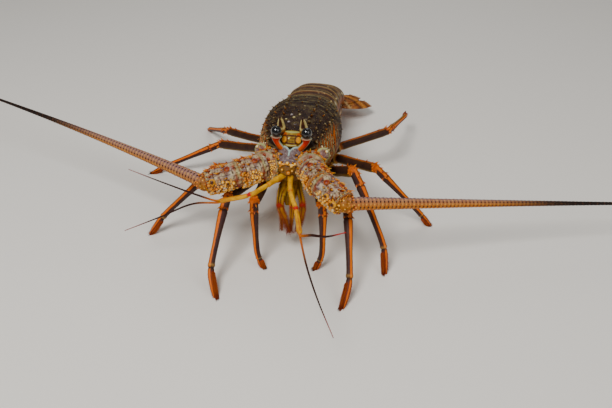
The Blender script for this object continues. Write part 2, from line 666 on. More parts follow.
# The horns: the carapace's dark cuticle with cream edges, which draw each horn as a pale fork.
HORN_SHELL = cuticle(
    "horn cuticle",
    [(0.3, "#34191a"), (0.5, "#4f2a1c"), (0.7, "#6c442a")],
    4,
    marks=[("warm", "#c07a1e"), ("cream", "#ecd684"), ("dark", "#2a1412")],
    grain=1.4,
    raised=0.12,
)
# The eyes: black, wet and glossy, so each holds one small sharp light.
CORNEA = wet_eye("eye cornea", [(0.35, "#080608"), (0.7, "#15100f")])
# The eyes' stalks: soft orange-red skin, slightly moist, with pale green rims down both sides.
EYE_STALK = cuticle(
    "eye stalk skin",
    [(0.3, "#b81000"), (0.5, "#d02400"), (0.7, "#dc4c00")],
    3,
    marks=[("warm", "#e07000"), ("dark", "#7a0c04"), ("pale", "#94b090")],
    grain=0.8,
    raised=0.05,
    rough=(0.35, 0.45),
)
# Round a whip from one side of it: orange, lilac over its top, orange, and a dark line below.
WHIP_STRIPES = [
    (0.0, "#c46e0c"), (0.14, "#a86c48"), (0.26, "#8c7074"), (0.38, "#906c64"), (0.5, "#b46c20"),
    (0.62, "#c46e0c"), (0.7, "#4e1608"), (0.77, "#4e1608"), (0.83, "#bc640c"), (1.0, "#b8640c"),
]
RING_PITCH = 3.4  # mm from one ring of a long whip to the next
# The long whips: ringed cuticle, satin along the top, lilac above and orange below with dark dots.
WHIP_SHELL = cuticle(
    "whip cuticle",
    [(0.3, "#7a3c0c"), (0.5, "#a86414"), (0.7, "#d0983c")],
    4,
    marks=[("ring", "#5c3424"), ("dark", "#1e120c"), ("warm", "#8c540a")],
    stripes=(WHIP_STRIPES, 0.72),
    dots=(RING_PITCH, 7, 1.1, "#22140f", "#d49a44"),
    grain=0.9,
    raised=0.1,
)
# The short feelers: smooth waxy yellow cuticle that darkens to brown along its fine whips.
YELLOW = cuticle(
    "short feeler cuticle",
    [(0.3, "#b47c00"), (0.5, "#d49800"), (0.68, "#ecb404")],
    5,
    marks=[("warm", "#b4520a"), ("dark", "#2c100c"), ("red", "#b40c06")],
    grain=0.8,
    raised=0.05,
)
# The mouth's limbs: the same waxy cuticle in olive yellow, drawn out in dark lines.
OLIVE = cuticle(
    "mouth leg cuticle",
    [(0.3, "#927414"), (0.5, "#c0961c"), (0.68, "#dcb034")],
    5,
    marks=[("warm", "#b05c10"), ("dark", "#38241a"), ("red", "#a01c0c")],
    grain=0.9,
    raised=0.06,
)
# Round a shin from its front, outwards: a broad orange band, then dark and thin orange lines in turn.
SHIN_STRIPES = [
    (0.0, "#e07400"), (0.072, "#d86400"), (0.084, "#2c120a"), (0.118, "#2c120a"), (0.13, "#b87408"),
    (0.172, "#a87810"), (0.19, "#33201c"), (0.27, "#33241f"), (0.31, "#985818"), (0.48, "#a86c20"),
    (0.6, "#9c5c18"), (0.64, "#2e2022"), (0.88, "#2a2026"), (0.952, "#34120c"), (0.966, "#d86000"),
]
# Round a thigh from its top: orange brown, then dark on both sides, and olive yellow below.
THIGH_STRIPES = [
    (0.0, "#a85404"), (0.03, "#9c4c08"), (0.06, "#24160f"), (0.16, "#17141a"), (0.28, "#1c181a"),
    (0.33, "#80601c"), (0.42, "#9a7c30"), (0.5, "#a8883c"), (0.58, "#9a7c30"), (0.67, "#80601c"),
    (0.72, "#1c181a"), (0.84, "#17141a"), (0.94, "#24160f"), (0.97, "#9c4c08"),
]
# The legs: smooth hard cuticle like lacquered wood, kept nearly matt as in water, so that its stripes
# stay saturated and run unbroken along the limb.
LEG_TONES = [(0.3, "#8c4a10"), (0.5, "#b86410"), (0.7, "#c88830")]
LEG_MARKS = [("warm", "#d06404"), ("dark", "#2c1612"), ("cream", "#d09c44"), ("red", "#943404")]
SHIN_SHELL, THIGH_SHELL = (
    cuticle(name, LEG_TONES, 6, marks=LEG_MARKS, stripes=stripes, grain=grain, raised=raised)
    for name, stripes, grain, raised in (
        ("shin cuticle", (SHIN_STRIPES, 0.94), 1.2, 0.06),
        ("thigh cuticle", (THIGH_STRIPES, 0.93), 1.4, 0.12),
    )
)
# The breast plate: pale, hard, dull cuticle the colour of old bone.
BELLY = cuticle(
    "breast cuticle",
    [(0.3, "#806040"), (0.5, "#a58c60"), (0.7, "#c0ac80")],
    8,
    marks=[("warm", "#a85c24"), ("cream", "#d8caa0")],
    freckles=(6, 0.2, "#985828"),
)
# The tail fan: thin, leathery brown cuticle in bands, hard and speckled near the roots.
FAN_SHELL = cuticle(
    "tail fan cuticle",
    [(0.3, "#5a2c16"), (0.5, "#8c4a1a"), (0.7, "#ac702a")],
    6,
    marks=[("dark", "#33201a"), ("warm", "#c47c2c"), ("cream", "#dcc488")],
    freckles=(5, 0.18, "#c8a060"),
    grain=1.0,
    raised=0.08,
)


def sided(side, degrees):
    """An angle round a feeler in degrees, from its front on either side of the animal; 90 is the top."""
    return degrees if side > 0 else 180 - degrees


# Carapace: a barrel drawn in by the neck groove and by the groove before its rear edge. Angle 0 is the
# left side and 90 degrees the top.
CARAPACE_WIDTH = [23, 30, 34, 37, 38, 34]
CARAPACE_TOP = [17, 24.5, 29, 31, 31, 28]
CARAPACE_BOTTOM = [20, 24, 26, 26, 25, 22]
NECK_AT, NECK_LAG, REAR_AT = 0.5, 0.17, 0.93
REAR_BEAD_AT = 0.985


def carapace(along, angle, out=1.0):
    """Each ring is a squared oval, wider than high, whose half width and heights run through the named
    profiles; low on the sides it lags forwards, so that the neck groove sweeps forward there."""
    along, angle, out = arrays(along, angle, out)
    round_it, up = np.cos(angle), np.sin(angle)
    spare = -1.8 * hump(along, NECK_AT, 0.035) - 1.3 * hump(along, REAR_AT, 0.025)
    lag = NECK_LAG * np.sin(np.pi * along) ** 2 * (1 - np.maximum(0, up))
    x = (profile(CARAPACE_WIDTH, along) + spare) * power(round_it, 0.85)
    above = (profile(CARAPACE_TOP, along) + spare) * power(up, 0.92)
    z = np.where(up > 0, above, profile(CARAPACE_BOTTOM, along) * power(up, 0.7))
    return body_point(x * out, CARAPACE * (along - lag * out), z * out)


def carapace_relief(along, angle):
    """Granules of two sizes that fade out in the grooves, and a bead along both edges."""
    back, over = along * CARAPACE, angle * 33
    grains = 0.55 * granules(back, over, 2.6, 3.0) + 0.3 * granules(back, over, 1.5, 8.0)
    calm = 1 - hump(along, NECK_AT, 0.03) - hump(along, REAR_AT, 0.03)
    beads = 0.7 * hump(along, REAR_BEAD_AT, 0.012) + 0.6 * hump(along, 0.015, 0.015)
    return grains * calm * step(np.sin(angle), -0.75, -0.3) + beads


def carapace_pale(along, angle):
    """Olive arcs across the back, behind the neck groove and before the rear edge."""
    up = np.maximum(np.sin(angle), 0)
    bent = along + 0.006 * np.sin(9 * angle) + 0.004 * np.sin(23 * angle)
    arcs = 0.5 * hump(bent, 0.555, 0.012) + humps(bent, (0.65, 0.73, 0.8, 0.87), 0.011)
    broken = 0.55 + 0.45 * np.sin(17 * angle + 40 * along)
    return 0.8 * arcs * broken * step(up, 0.15, 0.6) + 0.9 * hump(along, REAR_BEAD_AT, 0.013)


def flank(along, angle):
    """How far a place is on the front half of the flank."""
    up = np.sin(angle)
    return step(up, 0.62, 0.3) * step(up, -0.5, -0.2) * step(along, 0.75, 0.45)


def streaks(along, angle, shift, start, end):
    """Upright wavy streaks: the heights of a sine of the share, which a sine of the angle shifts."""
    return step(np.sin(along * 95 + shift + 2 * np.sin(angle * 7)), start, end)


# Orange streaks on the flank with cream ones between them, and orange low on the sides.
CARAPACE_MARKS = {
    "pale": carapace_pale,
    "warm": lambda a, t: 1.25 * flank(a, t) * streaks(a, t, 0, 0.1, 0.7) + 0.45 * step(np.sin(t), -0.05, -0.35),
    "cream": lambda a, t: 0.85 * flank(a, t) * streaks(a, t, 3.1, 0.55, 0.95),
}
shell = skin(carapace, 230, 300, carapace_relief, CARAPACE, CARAPACE_MARKS)
piece("carapace_shell", [shell], SHELL_DARK, ["carapace"])

# Rows of forward spines: their angle up from the side, how many from share to share of the length, and
# the length of the first and the last. Between them stand smaller ones.
SPINE_ROWS = [
    (90, 4, 0.18, 0.84, 5, 3.5),
    (71, 8, 0.12, 0.94, 8.5, 3.5),
    (54, 6, 0.2, 0.9, 6, 3.5),
    (37, 8, 0.07, 0.94, 7.5, 3.5),
    (20, 6, 0.12, 0.88, 5.5, 3),
    (5, 5, 0.08, 0.8, 5.5, 3),
]
carapace_spines = []
for degrees, count, start, end, first, last in SPINE_ROWS:
    share = np.linspace(0, 1, count)
    size = first + (last - first) * np.sqrt(share)
    between = start + (end - start) * (share[:-1] + 0.5 / (count - 1))
    small = size[:-1] * 0.5
    for way in {degrees, 180 - degrees}:  # the row on the mid-line stands once
        carapace_spines += [
            spines_on(carapace, start + (end - start) * share, way, size, size * 0.3, -0.75, 0.25, sides=8),
            spines_on(carapace, between, way + 3, small, small * 0.33, -0.8, 0.3),
        ]
PRICKLE_COUNT = 420
share = evenly(PRICKLE_COUNT)[0]
small = 1.3 + 1.6 * (1 - share) * (0.4 + 0.6 * mixed(PRICKLE_COUNT, 0, 7))
places = scattered(PRICKLE_COUNT, 0.04, 0.96, 90, 224)
carapace_spines.append(spines_on(carapace, *places, small, small * 0.36, -0.9, 0.3, sides=5))
piece("carapace_spines", carapace_spines, SPINES_SHELL)

# Round knobs between the horns' roots: share along, degrees round, size, and 1 for an olive one.
TUBERCLES = [
    (0.2, 99, 1.5, 0), (0.27, 93, 1.7, 1), (0.17, 90, 1.5, 0), (0.25, 104, 1.3, 1),
    (0.24, 80, 1.4, 0), (0.32, 97, 1.6, 0), (0.33, 88, 1.3, 1),
]
at, degrees, size, olive = np.array(TUBERCLES).T
piece("front_tubercles", [knobs_on(carapace, at, degrees, size, size, 10, olive)], TUBERCLE_FINISH)
a, b = evenly(900)
bristles = hairs_on(carapace, 0.03 + 0.94 * ((a + 0.31) % 1), -30 + 240 * b, 1.6, 0.09, -1.2, 0.3)
piece("carapace_bristles", [bristles], BRISTLES)

# Horns: from the front edge each rises steeply over its eye and curves forward to its tip.
HORN_BASE = 15  # its height over the body's axis where it leaves the carapace
HORN_LENGTH = 34  # along its whole path, for its pattern


def horn_place(side):
    """A tube through five points, whose across way is the animal's own."""
    path_points = (
        (10.5, 9, 7),
        (10.3, 6, HORN_BASE),
        (10.1, 3.5, HORN_BASE + HORN * 0.35),
        (10, -1, HORN_BASE + HORN * 0.65),
        (10, -7.5, HORN_BASE + HORN * 0.9),
    )
    return around([body_point(side * x, y, z) for x, y, z in path_points], [4.6, 4.4, 3.6, 2.4, 0.5], (1, 0, 0))


def horn_grains(along, angle):
    """Low granules."""
    return 0.25 * granules(along * HORN_LENGTH, angle * 4, 1.6, 5.0)


def both_edges(angle, start, end):
    """How far an angle lies towards the two sides of a tube."""
    return step(np.abs(np.sin(angle)), start, end)


HORN_MARKS = {
    "cream": lambda a, t: both_edges(t, 0.5, 0.8) * step(a, 0.5, 0.56) * step(a, 0.96, 0.9) + hump(a, 0.57, 0.04),
    "warm": lambda a, t: 0.6 * hump(a, 0.49, 0.04) + 0.5 * both_edges(t, 0.6, 0.9) * step(a, 0.5, 0.4),
    "dark": lambda a, t: step(a, 0.95, 0.99),
}
horns = [skin(horn_place(s), 60, 32, horn_grains, HORN_LENGTH, HORN_MARKS) for s in (1, -1)]
piece("horns", horns, HORN_SHELL)
prickles = [spines_on(horn_place(s), *scattered(14, 0.2, 0.7), 1.5, 0.5, 0.8, 0.2) for s in (1, -1)]
piece("horn_spines", prickles, SPINES_SHELL)


# Front margin: the rounded shield between the horns' roots, with two yellow discs.
MARGIN_LINE = [(8, 18.6), (4.8, 19.8), (1.2, 17.9), (-1.2, 14.2), (-2.2, 10.4), (-1.2, 7.4)]
MARGIN_HALF = [6.5, 8.2, 8.7, 8.6, 8.0, 6.0]
MARGIN_LENGTH = 17
DISCS_AT = 0.57
# A tube down the mid-line from the carapace's top, four times as wide as it is thick
margin = around([body_point(0, y, z) for y, z in MARGIN_LINE], MARGIN_HALF, (1, 0, 0), 0.24)


def margin_spot(down, across, size):
    """A round spot on both sides of the shield, at a share down it and a distance from the mid-line."""

    def read(along, angle):
        x = profile(MARGIN_HALF, along) * np.sin(angle)
        away = np.hypot((along - down) * MARGIN_LENGTH, np.abs(x) - across)
        return step(away, size * 1.1, size * 0.8) * step(np.cos(angle), 0.0, 0.1)

    return read


def margin_line(down, wide, half, bend):
    """A line across the shield at a share down it, with its half width as a share, its half length in mm,
    and how far it bends up towards its ends."""

    def read(along, angle):
        x = profile(MARGIN_HALF, along) * np.sin(angle)
        above = np.abs(along + bend * (x / 8) ** 2 - down)
        return step(above, wide, wide * 0.6) * step(np.abs(x), half + 0.6, half - 0.3)

    return read


def summed(*parts):
    """The sum of several marks."""
    return lambda a, t: sum(part(a, t) for part in parts)


pale_line = margin_line(0.29, 0.05, 8.6, 0.1)
cream_line = margin_line(0.785, 0.028, 4.4, 0.05)
cream_spot = margin_spot(0.52, 2.3, 0.7)
brown_lines = summed(*(margin_line(at, 0.02, 3.6, 0.05) for at in (0.53, 0.62)))
dark_foot = margin_line(0.92, 0.09, 9, 0.08)
MARGIN_MARKS = {
    "brown": lambda a, t: 0.9 * brown_lines(a, t),
    "orange": margin_spot(0.39, 6.3, 2.0),
    "red": summed(
        margin_line(0.43, 0.04, 3.8, 0.05), margin_line(0.71, 0.034, 5.0, 0.04), margin_spot(DISCS_AT, 5.9, 3.3)
    ),
    "warm": margin_spot(DISCS_AT, 6.0, 2.1),
    "pale": pale_line,
    "cream": lambda a, t: 0.8 * cream_line(a, t) + cream_spot(a, t) * step(np.sin(t), 0, -0.05),
    "dark": lambda a, t: dark_foot(a, t) + step(a, 0.2, 0.12),
}
raised_discs, ridged = margin_spot(DISCS_AT, 6.1, 2.2), margin_line(0.58, 0.2, 3.8, 0.05)


def margin_relief(along, angle):
    """The two discs and the pale line stand up, and the shield between them is ridged across."""
    ridges = 0.25 * np.cos(2 * np.pi * along / 0.09) * ridged(along, angle)
    return 0.8 * raised_discs(along, angle) + ridges + 0.5 * pale_line(along, angle)


piece("front_margin", [skin(margin, 110, 120, margin_relief, 20, MARGIN_MARKS)], MARGIN)


# Head: the plate between the feelers above and the lip over the mouth below.
HEAD_LENGTH = 27
PLATE_WIDTH = [10, 9.5, 9, 8.2, 6.5]
LIP_WIDTH = [17, 15, 12, 9.5, 7]
HEAD_TOP = [13, 11, 8, 5, 1]
HEAD_BOTTOM = [24, 23, 20, 15, 9]


def head(along, angle, out=1.0):
    """Each ring is a squared oval, narrower above than below; along runs forward from the carapace."""
    along, angle, out = arrays(along, angle, out)
    round_it, up = np.cos(angle), np.sin(angle)
    high = np.where(up > 0, profile(HEAD_TOP, along), profile(HEAD_BOTTOM, along))
    share = (1 + up) / 2
    wide = profile(LIP_WIDTH, along) * (1 - share) + profile(PLATE_WIDTH, along) * share
    return body_point(out * wide * power(round_it, 0.8), 2 - HEAD_LENGTH * along, out * high * power(up, 0.75))


def plate_edge(along, angle):
    """How far in mm a place on the plate's top lies in front of the plate's rear edge, which runs in from
    both corners and forward to a point on the mid-line as a square root does, and how far it is from the
    mid-line."""
    x = np.abs(head(along, angle, 1.0)[..., 0])
    return along * HEAD_LENGTH - (15.4 - 3.5 * np.sqrt(x + 0.02)), x


def plate_line(along, angle):
    """The pale rear edge of the plate, and a stem forward from its point."""
    ahead, x = plate_edge(along, angle)
    arms = np.abs(ahead - 0.5) / (1.0 + 1.6 / (0.6 + x))
    stem = np.maximum(x / 0.65, np.abs(along * HEAD_LENGTH - 17.0) / 2.6)
    top = step(np.sin(angle), 0.3, 0.5)
    return top * np.maximum(step(arms, 1.0, 0.6), step(stem, 1.15, 0.8))


def plate_hollow(along, angle):
    """The hollow between the plate's rear edge and the shield behind it."""
    return step(plate_edge(along, angle)[0], -0.3, -1.6) * step(np.sin(angle), 0.2, 0.5)


def head_relief(along, angle):
    """The pale edge stands up as a ridge before the hollow, and the rest is finely granular."""
    grains = 0.15 * granules(along * HEAD_LENGTH, angle * 9, 1.2, 2.0)
    return 0.8 * plate_line(along, angle) - 3.6 * plate_hollow(along, angle) + grains


HEAD_MARKS = {"pale": plate_line, "warm": lambda a, t: step(np.sin(t), 0.25, -0.2), "dark": plate_hollow}
plate = skin(head, 110, 150, head_relief, HEAD_LENGTH, HEAD_MARKS)
piece("antennular_plate", [plate], PLATE, ["head_plate"])
pairs = [
    spines_on(head, at, [50, 130], length, radius, lean, 0.3, sides=8)
    for at, length, radius, lean in ((0.62, 5, 1.5, 0.3), (0.93, 3.6, 1.3, 0.5))
]
piece("plate_spines", pairs, SPINES_FACE)

# Round knobs at the plate's foot: where each stands, which way it looks, its radius and its tint.
FOOT_KNOBS = [
    ((-5.6, -24.2, 0.6), (-0.3, -1, 0.8), 1.7, 0.3),
    ((0.6, -25.2, 1.2), (0, -1, 0.9), 1.8, 0.2),
    ((6.6, -24.2, 0.4), (0.3, -1, 0.8), 1.5, 0.1),
    ((1.6, -25.8, -6.5), (0.1, -1, 0.1), 2.0, 0.9),
    ((-3.4, -25.4, -4.2), (-0.2, -1, 0.3), 1.1, 0.5),
    ((4.6, -25.4, -4.8), (0.2, -1, 0.3), 1.1, 0.6),
]
feet, ways, radii, tints = (np.array(column) for column in zip(*FOOT_KNOBS))
foot_knobs = spines(body_point(*feet.T), body_way(*ways.T), 0 * ways, 3.0, radii, KNOB, 12, tints)
piece("plate_knobs", [foot_knobs], SPINES_FACE)
lip_knobs = end_knobs(head, body_way(0, -1, 0.35), 34, 90, 200)
piece("lip_knobs", [lip_knobs], SPINES_FACE)

# Cheek lobes: rounded bosses with a pale rim at the carapace's front corners, above the feelers' roots.
CHEEK_LENGTH = 15
CHEEK_RIM = 0.7


def cheek_place(side):
    """A short tube that looks forward and out."""
    points = ((21, 14, -2), (26, 7, 0.6), (28.2, 2.5, 1.8), (29.6, -1.4, 2.6))
    return around([body_point(side * x, y, z) for x, y, z in points], [5, 6.8, 5.9, 1.4])


def cheek_grains(along, angle, size=2.0, seed=6.0):
    """Granules of one size."""
    return granules(along * CHEEK_LENGTH, angle * 6, size, seed)


def cheek_relief(along, angle):
    """Granules, and a rim round the lobe's front."""
    return 0.4 * cheek_grains(along, angle) + 0.8 * hump(along, CHEEK_RIM, 0.06)


CHEEK_MARKS = {
    "pale": lambda a, t: hump(a, CHEEK_RIM, 0.06),
    "gold": lambda a, t: 0.8 * hump(a, 0.5, 0.06),
    "red": lambda a, t: 0.55 * cheek_grains(a, t, 3.4, 2.0) ** 2,
    "warm": lambda a, t: 0.45 * cheek_grains(a, t, 2.6, 8.0) ** 2,
    "dark": lambda a, t: 0.7 * step(cheek_grains(a, t), 0.35, 0.0) * step(np.abs(a - CHEEK_RIM), 0.06, 0.1),
}
cheeks, cheek_knobs = [], []
for side in (1, -1):
    place = cheek_place(side)
    cheeks.append(skin(place, 60, 60, cheek_relief, CHEEK_LENGTH, CHEEK_MARKS))
    outer_top = angle_towards(place, 0.8, np.array([side, 0, 1.2]))
    cheek_knobs += [
        knobs_on(place, *scattered(22, 0.2, 0.6), 1.3, 0.8, lean=0.2),
        knobs_on(place, [0.82], [outer_top], 2.0, 1.5, 10, 1.0),
    ]
piece("cheek_lobes", cheeks, LAVENDER)
piece("cheek_knobs", cheek_knobs, PRICKLES)


# Eyes: a stalk that leans out and up, and a round black cornea on it.
EYE_SHIFT = 0.8  # of both eyes to the animal's left


def eye_place(side):
    """A tube through six points, thickest where the cornea sits on it."""
    points = [
        (side * 5.5, 0, 3),
        (side * 8.5, -5, 8.5),
        (side * 13.0 + 0.6, -7.5, 15.5),
        (side * 13.4 + EYE_SHIFT, -8.2, 21),
        (side * 13.4 + EYE_SHIFT, -8.6, 25.4),
        (side * 13.2 + EYE_SHIFT, -8.4, 29.6),
    ]
    return around([body_point(*p) for p in points], [2.1, 2.4, 2.45, EYE, EYE * 0.96, 0.8], (1, 0, 0))


def eye_stalk_relief(along, angle):
    """A raised rim along both sides, and a cup round the cornea's root."""
    return 0.5 * both_edges(angle, 0.85, 0.97) + 0.2 * hump(along, 0.54, 0.02)


EYE_MARKS = {
    "pale": lambda a, t: np.maximum(both_edges(t, 0.82, 0.94), 0.8 * hump(a, 0.555, 0.01)),
    "dark": lambda a, t: 0.5 * hump(a, 0.53, 0.02) * both_edges(t, 0.9, 0.6),
    "warm": lambda a, t: step(a, 0.4, 0.15),
}


def cornea_place(side):
    """An egg: its rings widen and narrow as a half circle does, along its stalk's way."""
    middle = body_point(side * 13.3 + EYE_SHIFT, -8.3, 24.2)
    ahead = body_way(side * 0.1, -0.05, 1)
    wide = unit(np.cross([0, 1, 0], ahead))
    deep = np.cross(ahead, wide)

    def place(along, angle, out=1.0):
        along, angle, out = arrays(along, angle, out)
        turn = np.pi * (along - 0.5)
        size = (EYE * 1.02 * np.cos(turn) * out)[..., None]
        rise = (EYE * 1.12 * np.sin(turn))[..., None]
        return middle + ahead * rise + size * (wide * np.cos(angle)[..., None] + deep * np.sin(angle)[..., None])

    return place


for side, name in SIDES:
    stalk = skin(eye_place(side), np.linspace(0, 0.56, 60), 40, eye_stalk_relief, 30, EYE_MARKS)
    piece(f"eye_stalk_{name}", [stalk], EYE_STALK)
    egg = skin(cornea_place(side), np.linspace(0.02, 0.98, 40), 48, None, 10)
    piece(f"cornea_{name}", [egg], CORNEA, [f"eye_{name}"])


# Breast plate: the keel under the body that the legs grow from.
BREAST_LENGTH = 93
BREAST_START = 4  # behind the carapace's front edge
BREAST_WIDTH = [8, 12, 16, 19, 21, 18]
BREAST_DEPTH = [28, 31, 33, 33, 32, 29]
BREAST_TOP = 18  # below the body's axis
BREAST_GROOVES = (np.array([22, 40, 58, 76]) - BREAST_START) / BREAST_LENGTH


def breast(along, angle, out=1.0):
    """Each ring is a squared oval between the carapace's underside and the depth's profile."""
    along, angle, out = arrays(along, angle, out)
    depth = profile(BREAST_DEPTH, along)
    x = out * profile(BREAST_WIDTH, along) * power(np.cos(angle), 0.6)
    z = (-BREAST_TOP - depth) / 2 + out * (depth - BREAST_TOP) / 2 * power(np.sin(angle), 0.5)
    return body_point(x, BREAST_START + BREAST_LENGTH * along, z)


def breast_relief(along, angle):
    """Grooves across between the legs' plates."""
    grains = 0.15 * granules(along * BREAST_LENGTH, angle * 12, 3, 4.0)
    return -0.9 * humps(along, BREAST_GROOVES, 0.014) + grains


BREAST_MARKS = {
    "warm": lambda a, t: humps(a, BREAST_GROOVES, 0.02),
    "cream": lambda a, t: 0.7 * hump(np.cos(t), 0, 0.25) * step(np.sin(t), 0, -0.5),
}
keel = skin(breast, 120, 80, breast_relief, BREAST_LENGTH, BREAST_MARKS)
piece("breast", [keel], BELLY, ["breast_plate"])


# Long feelers: a spiny stalk of three stout segments, then a whip ringed and dotted along its length.
STALK_RADII = [[11, 12.5, 12], [10, 11.5, 11.3], [9.6, 10.6, 9.6]]
STALK_LENGTH, STALK_RADIUS = 26, 11
COLLAR = (0.062, 0.045)  # a whip's rough first part fades out between these shares
SPINULE_PITCH = 2 * RING_PITCH
SPINULES_ROUND = 7


def whip_radius(share):
    """It tapers fast at first, then slowly to a fine tip."""
    return WHIP_TIP + (WHIP_ROOT - WHIP_TIP) * (1 - share) ** 1.62


def whip_points(start, side, swing, rise):
    """Short straight steps whose swing and rise change evenly from the root to the tip."""
    steps = 24
    share = (np.arange(steps) + 0.5) / steps
    ways = [heading(side, swing[0] + (swing[1] - swing[0]) * s, rise[0] + (rise[1] - rise[0]) * s) for s in share]
    return np.concatenate([[start], start + np.cumsum(ways, 0) * WHIP / steps])


def stalk_grains(along, angle, size=2.2, seed=6.0):
    """A stalk's granules of one size, on a segment of usual length and radius."""
    return granules(along * STALK_LENGTH, angle * STALK_RADIUS, size, seed)


def stalk_relief(bead):
    """Granules, a bead round the far end with a waist behind it, and a ball that fills the socket."""

    def read(along, angle):
        grains = 0.6 * stalk_grains(along, angle) + 0.3 * stalk_grains(along, angle, 1.1, 7.0)
        ends = bead * hump(along, 0.962, 0.028) - 0.5 * hump(along, 0.88, 0.03) + 1.2 * hump(along, 0.2, 0.12)
        return grains * step(along, 0.98, 0.9) + ends

    return read


def stalk_marks(side, first):
    """Pale yellow-green round the far end and over the root's top, warm below and in front, cream
    patches on the top, and dark hollows between the granules."""
    front = np.radians(sided(side, -35))
    rim, end = (1.5, 0.3) if first else (0.4, 1.0)
    return {
        "pale": lambda a, t: rim * hump(a, 0.952, 0.026) + 0.4 * hump(a, 0.14, 0.05) * step(np.sin(t), 0.1, 0.6),
        "warm": lambda a, t: 0.8 * step(np.cos(t - front), 0.4, 0.85) + 0.85 * stalk_grains(a, t, 6.5, 9.0) ** 2,
        "cream": lambda a, t: 0.7 * stalk_grains(a, t, 5.5, 1.0) ** 2,
        "red": lambda a, t: 0.9 * hump(a, 0.2, 0.03) + 0.6 * stalk_grains(a, t, 8.5, 4.0) ** 3,
        "gold": lambda a, t: end * step(a, 0.982, 0.992),
        "dark": lambda a, t: np.maximum(
            step(stalk_grains(a, t), 0.42, 0.05) * step(a, 0.97, 0.93), hump(a, 0.978, 0.008)
        ),
    }


# Rings of thorns on a segment: share along it, angles round it, and length.
THORN_RINGS = [(0.42, [90, 155], 4.2), (0.6, [60, 120], 4.8), (0.82, [-8, 32, 90, 145, 188], 5.4)]
# Golden knobs crowd along each segment's front and lower side: how many, and their spread and middle.
KNOB_CROWDS = [(110, 190, -40), (90, 110, -25), (76, 100, -28)]
# Knobs with dark eyes, as shares along the last segment, angles round it, and sizes.
BOSS_PLACES = {1: [(0.92, 15, 3.0), (0.61, 24, 2.3)], -1: [(0.83, 30, 2.9), (0.43, 6, 2.1)]}


def segment_cover(place, side, index, ahead):
    """A stalk segment's thorns, golden knobs, pale prickles and red-brown domes."""
    low = 0.24 if index else 0.2  # where the socket of the segment before it ends
    size = 1.4 + 2.6 * mixed(46, 5, 3) ** 1.5
    rim = np.arange(0, 360, 20) if index else np.arange(-120, 60, 20)
    thorns = [
        spines_on(place, along, sided(side, np.array(angles)), length, 1.5, 0.6, 0.3, sides=8)
        for along, angles, length in THORN_RINGS
    ]
    thorns += [
        spines_on(place, *scattered(46, low, 0.92, sided(side, 110), 260), size, size * 0.36, 0.5, 0.3),
        spines_on(place, 0.94, sided(side, rim), 2.6, 1.0, 0.5, 0.2),
    ]
    count, spread, middle = KNOB_CROWDS[index]
    size = 1.1 + 1.7 * mixed(count, 9, 1) ** 2
    end = (46,) if index else (40, sided(side, -50), 190)
    knobs = [
        knobs_on(place, *scattered(count, low, 0.95, sided(side, middle), spread), size * 0.9, size * 0.66),
        knobs_on(place, *scattered(26, low, 0.95, sided(side, 135), 70), 1.6, 1.1, tint=0.9),
        end_knobs(place, ahead, *end),
        knobs_on(place, np.arange(low, 0.95, 0.1), sided(side, -42), 2.3, 1.7, tint=0.2, lean=0.3),
    ]
    prickles = [
        spines_on(place, *scattered(150, low, 0.9, sided(side, 55), 110), 1.5, 0.38, 0.6, 0.2, sides=5),
        knobs_on(place, *scattered(26, low, 0.95, sided(side, -32), 50), 1.7, 1.25),
    ]
    domes = [knobs_on(place, [0.36, 0.68], sided(side, np.array([70, 112])), 2.0, 2.7, 16, 1.0)]
    if index == 0:
        foot = place(1.0, np.radians(sided(side, np.array([92.0, 60.0]))), np.array([0.82, 0.62]))
        domes.append(spines(foot, np.tile(ahead, (2, 1)), 0 * foot, 1.3, [1.5, 1.9], KNOB, 14, 1.0))
    return thorns, knobs, prickles, domes


def whip_grains(along, angle):
    """The granules of a whip's collar, its rough first part."""
    return granules(along * WHIP, angle * 6, 2.4, 3.0)


def whip_rings(along):
    """A wave, 1 on each of a whip's rings and -1 between them."""
    return np.cos(2 * np.pi * along * WHIP / RING_PITCH)


def whip_relief(along, angle):
    """Rings that fade towards the tip, and a thicker granular collar."""
    rings = 0.28 * (1 - along) ** 0.8 * (0.5 + 0.5 * whip_rings(along))
    return rings + (1.0 + 0.6 * whip_grains(along, angle)) * step(along, *COLLAR)


